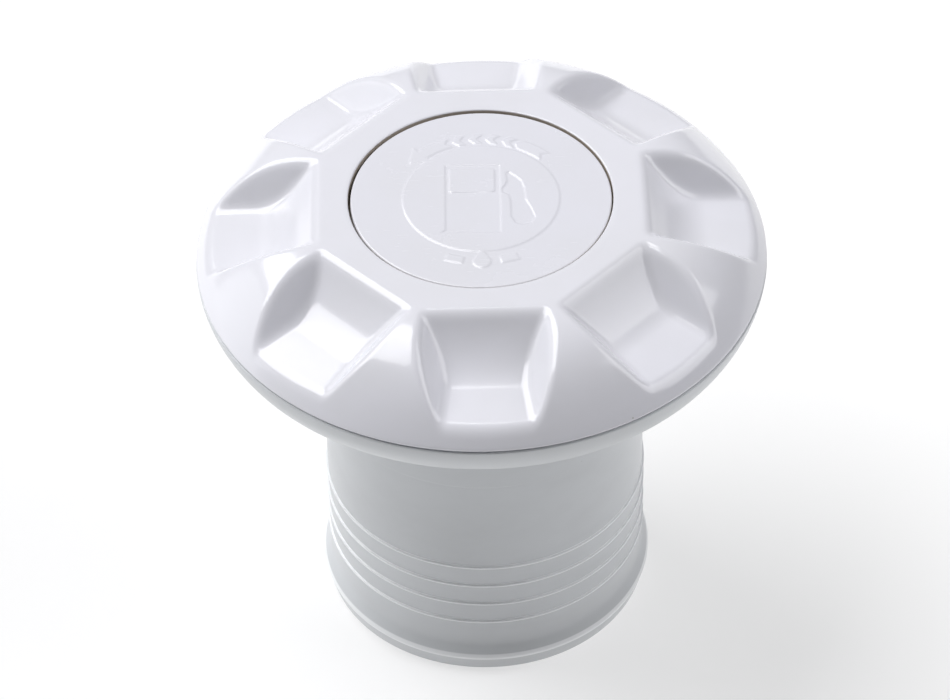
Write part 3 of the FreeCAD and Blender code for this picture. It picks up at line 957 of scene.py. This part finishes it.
def whitePlastic(name):
    # moulded white plastic: faint flow mottling, aged and rubbed patches, fine scratches, specks and peel
    look = finishes[name]
    fixed = {"IOR": 1.49, "Coat Weight": look["coat"], "Coat Roughness": 0.06, "Coat IOR": 1.5}
    shade = Shade(name, fixed)
    flow = shade.noise(32, 4, (1, 1, 2.2), 0.6)
    patches = shade.noise(90, 5, None, 0.65)
    colour = shade.blendColours(shade.between(flow, 0.36, 0.68), look["main"], look["aged"])
    spots = shade.specks(look["specksPerMetre"], 0.05, look["specks"])
    colour = shade.blendColours(spots * 0.8, colour, look["dust"])
    # painted shade in the gap round the disc
    if "grime" in look:
        colour = paintedGapShade(shade, look, colour)
    # painted highlights along the barbs' edges and the lip
    if "worn" in look:
        colour = paintedLedgeHighlights(shade, look, colour)
    rubbed = shade.between(patches, 0.45, 0.75)
    scratch = shade.between(shade.noise(420, 2, (1, 7, 1)), 0.62, 0.72) * shade.between(flow, 0.42, 0.6)
    roughness = look["gloss"] + rubbed * 0.07 + scratch * 0.05 + spots * 0.3
    relief = shade.bump(shade.noise(520, 2), look["peel"])
    relief = shade.bump(shade.noise(3200, 2), look["peel"] * 0.35, 1.0, relief)
    relief = shade.bump(spots, 0.00003, 1.0, relief)
    shade.feed(Base_Color=colour, Roughness=roughness, Normal=relief)
    return shade.material


def blackRubber():
    # moulded rubber: grey bloom in patches and a fine matt grain
    shade = Shade("sealRubber", {"IOR": 1.52})
    bloom = shade.between(shade.noise(160, 5), 0.4, 0.75)
    colour = shade.blendColours(bloom, (0.018, 0.018, 0.019, 1), (0.05, 0.05, 0.052, 1))
    grain = shade.noise(4200, 3)
    shade.feed(Base_Color=colour, Roughness=0.42 + bloom * 0.25, Normal=shade.bump(grain, 0.000008))
    return shade.material


def stainlessSteel():
    # turned stainless steel: fine rings about the axis, smudges, and slightly darker rubbed spots
    shade = Shade("stainlessSteel", {"Metallic": 1.0})
    inputs = {"W": shade.awayFromAxis(), "Scale": 9000.0, "Detail": 2.0}
    rings = shade.node("ShaderNodeTexNoise", {"noise_dimensions": "1D"}, inputs)
    smudge = shade.between(shade.noise(230, 4), 0.42, 0.7)
    colour = shade.blendColours(smudge, (0.62, 0.61, 0.59, 1), (0.5, 0.49, 0.475, 1))
    roughness = 0.2 + rings * 0.12 + smudge * 0.12
    shade.feed(Base_Color=colour, Roughness=roughness, Normal=shade.bump(rings, 0.000004))
    return shade.material


def naturalNylon():
    # unpainted nylon: cream, slightly cloudy, with a waxy grain
    shade = Shade("washerNylon", {"IOR": 1.53})
    cloud = shade.between(shade.noise(300, 4), 0.35, 0.7)
    colour = shade.blendColours(cloud, (0.72, 0.69, 0.6, 1), (0.64, 0.61, 0.52, 1))
    grain = shade.bump(shade.noise(2600, 2), 0.000008)
    shade.feed(Base_Color=colour, Roughness=0.38 + cloud * 0.14, Normal=grain)
    return shade.material


def dress(piece, material):
    piece.data.materials.clear()
    piece.data.materials.append(material)


capPiece = makeCap()
discPiece = makeLabelDisc()
print("cap and label disc made")
neckPiece = makeNeck()
sealPiece = makeSealRing()
print("neck and seal ring made")

steel = stainlessSteel()
dress(capPiece, whitePlastic("capWhite"))
dress(discPiece, whitePlastic("discWhite"))
dress(neckPiece, whitePlastic("neckWhite"))
dress(sealPiece, blackRubber())
dress(frame["nodes"]["threaded_plug"], whitePlastic("plugWhite"))
dress(frame["nodes"]["swivel_washer"], naturalNylon())
for name in ("cap_screws", "lanyard_swivel", "swivel_screw"):
    dress(frame["nodes"][name], steel)
print("materials done")


# ---- floor, light and camera ----

stage = {
    "floorSize": 8.0,
    "floorColour": (0.45, 0.45, 0.45, 1),
    "floorFaded": (0.43, 0.43, 0.435, 1),
    # painted light: the floor's own emission strength, which pales the cast shadow on it
    "floorGlow": 0.56,
    "sky": (0.96, 0.98, 1.0, 1),
    "skyStrength": 0.03,
    "lightsAim": (0, 0, 0.06),
}

lights = {
    # name: place in metres, size, power in watts, colour
    "keyWindow": {"at": (-0.85, 0.5, 1.6), "size": 1.5, "power": 38.0, "colour": (0.99, 0.99, 1.0)},
    "leftStrip": {"at": (-1.3, 0.3, 0.4), "size": 0.8, "power": 3.0, "colour": (0.97, 0.985, 1.0)},
    "rightFill": {"at": (1.2, 0.0, 0.95), "size": 1.0, "power": 8.5, "colour": (0.98, 0.98, 1.0)},
}


def makeFloor():
    half = stage["floorSize"] / 2
    mesh = bpy.data.meshes.new("paleFloor")
    corners = [(-half, -half, 0), (half, -half, 0), (half, half, 0), (-half, half, 0)]
    mesh.from_pydata(corners, [], [(0, 1, 2, 3)])
    floor = bpy.data.objects.new("paleFloor", mesh)
    bpy.context.scene.collection.objects.link(floor)
    # painted light: the floor glows by its own emission, which pales the cast shadow on it
    glow = {"Emission Color": (1, 1, 1, 1), "Emission Strength": stage["floorGlow"]}
    shade = Shade("floorPaper", {"Roughness": 0.75, **glow})
    soft = shade.between(shade.noise(3, 2), 0.3, 0.7)
    shade.feed(Base_Color=shade.blendColours(soft, stage["floorColour"], stage["floorFaded"]))
    dress(floor, shade.material)


def makeLights():
    world = bpy.data.worlds.new("studioSky")
    world.use_nodes = True
    sky = world.node_tree.nodes["Background"]
    sky.inputs[0].default_value = stage["sky"]
    sky.inputs[1].default_value = stage["skyStrength"]
    bpy.context.scene.world = world
    target = Vector(stage["lightsAim"])
    for name, lamp in lights.items():
        data = bpy.data.lights.new(name, "AREA")
        data.size = lamp["size"]
        data.energy = lamp["power"]
        data.color = lamp["colour"]
        light = bpy.data.objects.new(name, data)
        light.location = lamp["at"]
        light.rotation_euler = (target - Vector(lamp["at"])).to_track_quat("-Z", "Y").to_euler()
        bpy.context.scene.collection.objects.link(light)


view = {
    "place": (0.0, -0.50497, 0.53099),
    "pitchDeg": 43.868,
    "yawDeg": -0.1436,
    "rollDeg": -1.0854,
    "lens": 170.5,
    "sensor": 36.0,
    "near": 0.05,
    "far": 20.0,
}


def makeCamera():
    # looks down by the pitch, turned by the yaw, then rolled about its own line of sight
    pitch = math.radians(view["pitchDeg"])
    yaw = math.radians(view["yawDeg"])
    roll = math.radians(view["rollDeg"])
    ahead = Vector((math.sin(yaw) * math.cos(pitch), math.cos(yaw) * math.cos(pitch), -math.sin(pitch)))
    right = Vector((math.cos(yaw), -math.sin(yaw), 0))
    up = right.cross(ahead)
    rolledRight = right * math.cos(roll) + up * math.sin(roll)
    rolledUp = up * math.cos(roll) - right * math.sin(roll)
    data = bpy.data.cameras.new("studioCamera")
    data.lens = view["lens"]
    data.sensor_width = view["sensor"]
    data.clip_start = view["near"]
    data.clip_end = view["far"]
    camera = bpy.data.objects.new("studioCamera", data)
    turn = Matrix((rolledRight, rolledUp, -ahead)).transposed().to_4x4()
    camera.matrix_world = Matrix.Translation(view["place"]) @ turn
    bpy.context.scene.collection.objects.link(camera)
    bpy.context.scene.camera = camera


bpy.context.scene.view_settings.view_transform = "Standard"
makeFloor()
makeLights()
makeCamera()
print("stage done")
